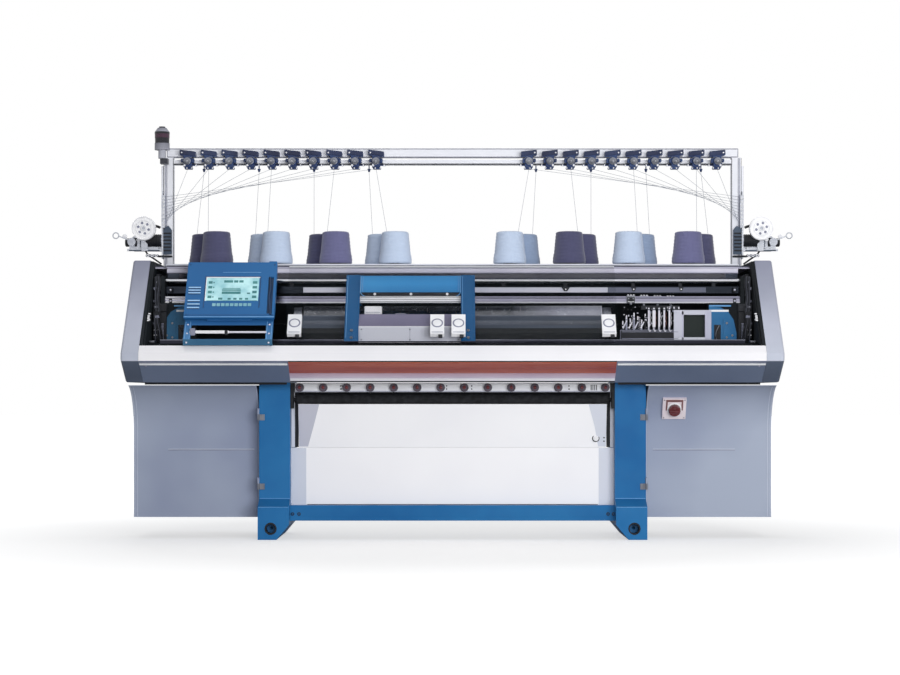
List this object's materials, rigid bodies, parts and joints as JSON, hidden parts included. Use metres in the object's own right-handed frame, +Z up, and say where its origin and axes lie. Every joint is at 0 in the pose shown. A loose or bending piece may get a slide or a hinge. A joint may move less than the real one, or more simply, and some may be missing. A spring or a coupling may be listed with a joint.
{
  "type": "flat knitting machine",
  "caption": "Computerised flat knitting machine with a carriage over V needle beds, sliding windows, tilting control panel, yarn creel, take-down rollers and side cabinets.",
  "frame": {"origin": "on the floor, at the middle of the machine's length and depth", "axes": "+X to the operator's right along the needle beds, +Y from the operator to the rear, +Z up"},
  "size_m": [3.55, 0.9, 2.125],
  "materials": {
    "cover_grey": "satin",
    "cover_light": "satin",
    "frame_blue": "semi-gloss",
    "bed_steel": "ground",
    "rail_steel": "polished",
    "cam_grey": "satin",
    "carrier_steel": "brushed",
    "clamp_grey": "satin",
    "window_clear": "clear",
    "latch_white": "gloss",
    "panel_blue": "semi-gloss",
    "screen": "semi-gloss",
    "key_white": "matte",
    "flap_copper": "metallic gloss",
    "table_grey": "satin",
    "creel_aluminium": "anodised",
    "unit_navy": "satin",
    "holder_dark": "matte",
    "yarn_purple": "wound yarn",
    "yarn_pale": "wound yarn",
    "yarn_blue": "wound yarn",
    "yarn_thread": "yarn",
    "feeder_grey": "satin",
    "wheel_white": "gloss",
    "hinge_steel": "satin",
    "switch_plate": "satin",
    "switch_red": "gloss",
    "lamp_dark": "gloss",
    "take_steel": "brushed",
    "knob_red": "gloss",
    "roller_rubber": "matte",
    "chute_white": "satin",
    "belt_black": "matte",
    "motor_black": "satin",
    "pulley_steel": "machined"
  },
  "bodies": {
    "machine": {"left_leg": "frame_blue", "right_leg": "frame_blue", "crossbeams": "frame_blue", "bed_frame": "frame_blue", "left_side_cap": "cover_grey", "right_side_cap": "cover_grey", "front_cover": "cover_light", "lower_aprons": "cover_grey", "rear_cover": "cover_grey", "needle_beds": "bed_steel", "rails": "rail_steel", "end_castings": "frame_blue", "yarn_clamp_unit": "clamp_grey", "creel_table": "table_grey", "creel_frame": "creel_aluminium", "yarn_control_units": "unit_navy", "cone_holders": "holder_dark", "purple_cones": "yarn_purple", "pale_cones": "yarn_pale", "blue_cones": "yarn_blue", "yarns": "yarn_thread", "feeder_brackets": "feeder_grey", "left_cabinet": "cover_grey", "right_cabinet": "cover_grey", "door_hinge_leaves": "hinge_steel", "signal_lamp": "lamp_dark", "take_down_frame": "take_steel", "take_down_knobs": "knob_red", "fabric_bin": "chute_white", "toothed_belt": "belt_black", "drive_motor": "motor_black", "belt_tensioner": "motor_black"},
    "carriage": {"carriage_bow": "frame_blue", "cam_boxes": "cam_grey"},
    "carrier_1": {"yarn_carrier_1": "carrier_steel"},
    "carrier_2": {"yarn_carrier_2": "carrier_steel"},
    "carrier_3": {"yarn_carrier_3": "carrier_steel"},
    "carrier_4": {"yarn_carrier_4": "carrier_steel"},
    "panel_stand": {"panel_bracket": "panel_blue"},
    "panel": {"panel_housing": "panel_blue", "panel_screen": "screen", "panel_keys": "key_white"},
    "window_l": {"left_window": "window_clear", "left_window_latches": "latch_white"},
    "window_r": {"right_window": "window_clear", "right_window_latches": "latch_white"},
    "flap": {"take_down_flap": "flap_copper"},
    "chute": {"upper_chute_panel": "chute_white"},
    "door_l": {"left_cabinet_door": "cover_grey"},
    "door_r": {"right_cabinet_door": "cover_grey", "main_switch_plate": "switch_plate"},
    "main_switch": {"main_switch_knob": "switch_red"},
    "roller_front": {"front_take_down_roller": "roller_rubber"},
    "roller_rear": {"rear_take_down_roller": "roller_rubber"},
    "wheel_l": {"left_feeder_wheel": "wheel_white"},
    "wheel_r": {"right_feeder_wheel": "wheel_white"},
    "lever_l": {"left_tension_lever": "feeder_grey"},
    "lever_r": {"right_tension_lever": "feeder_grey"},
    "pulley_drive": {"drive_pulley": "pulley_steel"},
    "pulley_idler": {"idler_pulley": "pulley_steel"}
  },
  "joints": [
    {"name": "carriage_slide", "type": "slide", "parent": "machine", "child": "carriage", "axis": [1, 0, 0], "range_m": [-0.868, 1.292]},
    {"name": "carrier_1_slide", "type": "slide", "parent": "machine", "child": "carrier_1", "axis": [1, 0, 0], "range_m": [-2.175, 0.365]},
    {"name": "carrier_2_slide", "type": "slide", "parent": "machine", "child": "carrier_2", "axis": [1, 0, 0], "range_m": [-2.245, 0.295]},
    {"name": "carrier_3_slide", "type": "slide", "parent": "machine", "child": "carrier_3", "axis": [1, 0, 0], "range_m": [-2.315, 0.225]},
    {"name": "carrier_4_slide", "type": "slide", "parent": "machine", "child": "carrier_4", "axis": [1, 0, 0], "range_m": [-2.385, 0.155]},
    {"name": "panel_slide", "type": "slide", "parent": "machine", "child": "panel_stand", "axis": [1, 0, 0], "range_m": [-0.1, 0.9]},
    {"name": "panel_tilt", "type": "hinge", "parent": "panel_stand", "child": "panel", "pos_m": [0, -0.369, 1.0985], "axis": [1, 0, 0], "range_deg": [0, 25]},
    {"name": "left_window_slide", "type": "slide", "parent": "machine", "child": "window_l", "axis": [1, 0, 0], "range_m": [-0.55, 0]},
    {"name": "right_window_slide", "type": "slide", "parent": "machine", "child": "window_r", "axis": [1, 0, 0], "range_m": [0, 0.65]},
    {"name": "flap_hinge", "type": "hinge", "parent": "machine", "child": "flap", "pos_m": [0, -0.4346, 0.8877], "axis": [1, 0, 0], "range_deg": [-100, 0]},
    {"name": "chute_hinge", "type": "hinge", "parent": "machine", "child": "chute", "pos_m": [0, -0.048, 0.462], "axis": [1, 0, 0], "range_deg": [0, 70]},
    {"name": "left_door_hinge", "type": "hinge", "parent": "machine", "child": "door_l", "pos_m": [-0.9825, -0.128, 0.445], "axis": [0, 0, 1], "range_deg": [0, 90]},
    {"name": "right_door_hinge", "type": "hinge", "parent": "machine", "child": "door_r", "pos_m": [0.9825, -0.128, 0.445], "axis": [0, 0, 1], "range_deg": [-90, 0]},
    {"name": "main_switch_turn", "type": "hinge", "parent": "door_r", "child": "main_switch", "pos_m": [1.1265, -0.08317, 0.65726], "axis": [0, -0.8561, -0.5168], "range_deg": [0, 90]},
    {"name": "front_roller_spin", "type": "hinge", "parent": "machine", "child": "roller_front", "pos_m": [0, -0.0785, 0.705], "axis": [1, 0, 0], "continuous": true},
    {"name": "rear_roller_spin", "type": "hinge", "parent": "machine", "child": "roller_rear", "pos_m": [0, -0.0215, 0.705], "axis": [1, 0, 0], "continuous": true},
    {"name": "left_wheel_spin", "type": "hinge", "parent": "machine", "child": "wheel_l", "pos_m": [-1.606, 0.17, 1.595], "axis": [0, 1, 0], "continuous": true},
    {"name": "right_wheel_spin", "type": "hinge", "parent": "machine", "child": "wheel_r", "pos_m": [1.606, 0.17, 1.595], "axis": [0, 1, 0], "continuous": true},
    {"name": "left_lever_swing", "type": "hinge", "parent": "machine", "child": "lever_l", "pos_m": [-1.674, 0.2, 1.527], "axis": [0, 1, 0], "range_deg": [-20, 20], "stiffness_Nm_per_rad": 1, "springref_deg": 1.72},
    {"name": "right_lever_swing", "type": "hinge", "parent": "machine", "child": "lever_r", "pos_m": [1.674, 0.2, 1.527], "axis": [0, 1, 0], "range_deg": [-20, 20], "stiffness_Nm_per_rad": 1, "springref_deg": -1.72},
    {"name": "drive_pulley_spin", "type": "hinge", "parent": "machine", "child": "pulley_drive", "pos_m": [1.44, 0.2745, 1.06], "axis": [0, 1, 0], "continuous": true},
    {"name": "idler_pulley_spin", "type": "hinge", "parent": "machine", "child": "pulley_idler", "pos_m": [-1.44, 0.2745, 1.06], "axis": [0, 1, 0], "continuous": true}
  ],
  "couplings": [
    {"joint": "rear_roller_spin", "follows": "front_roller_spin", "ratio": -1},
    {"joint": "drive_pulley_spin", "follows": "carriage_slide", "rad_per_m": -25},
    {"joint": "idler_pulley_spin", "follows": "carriage_slide", "rad_per_m": -25}
  ]
}
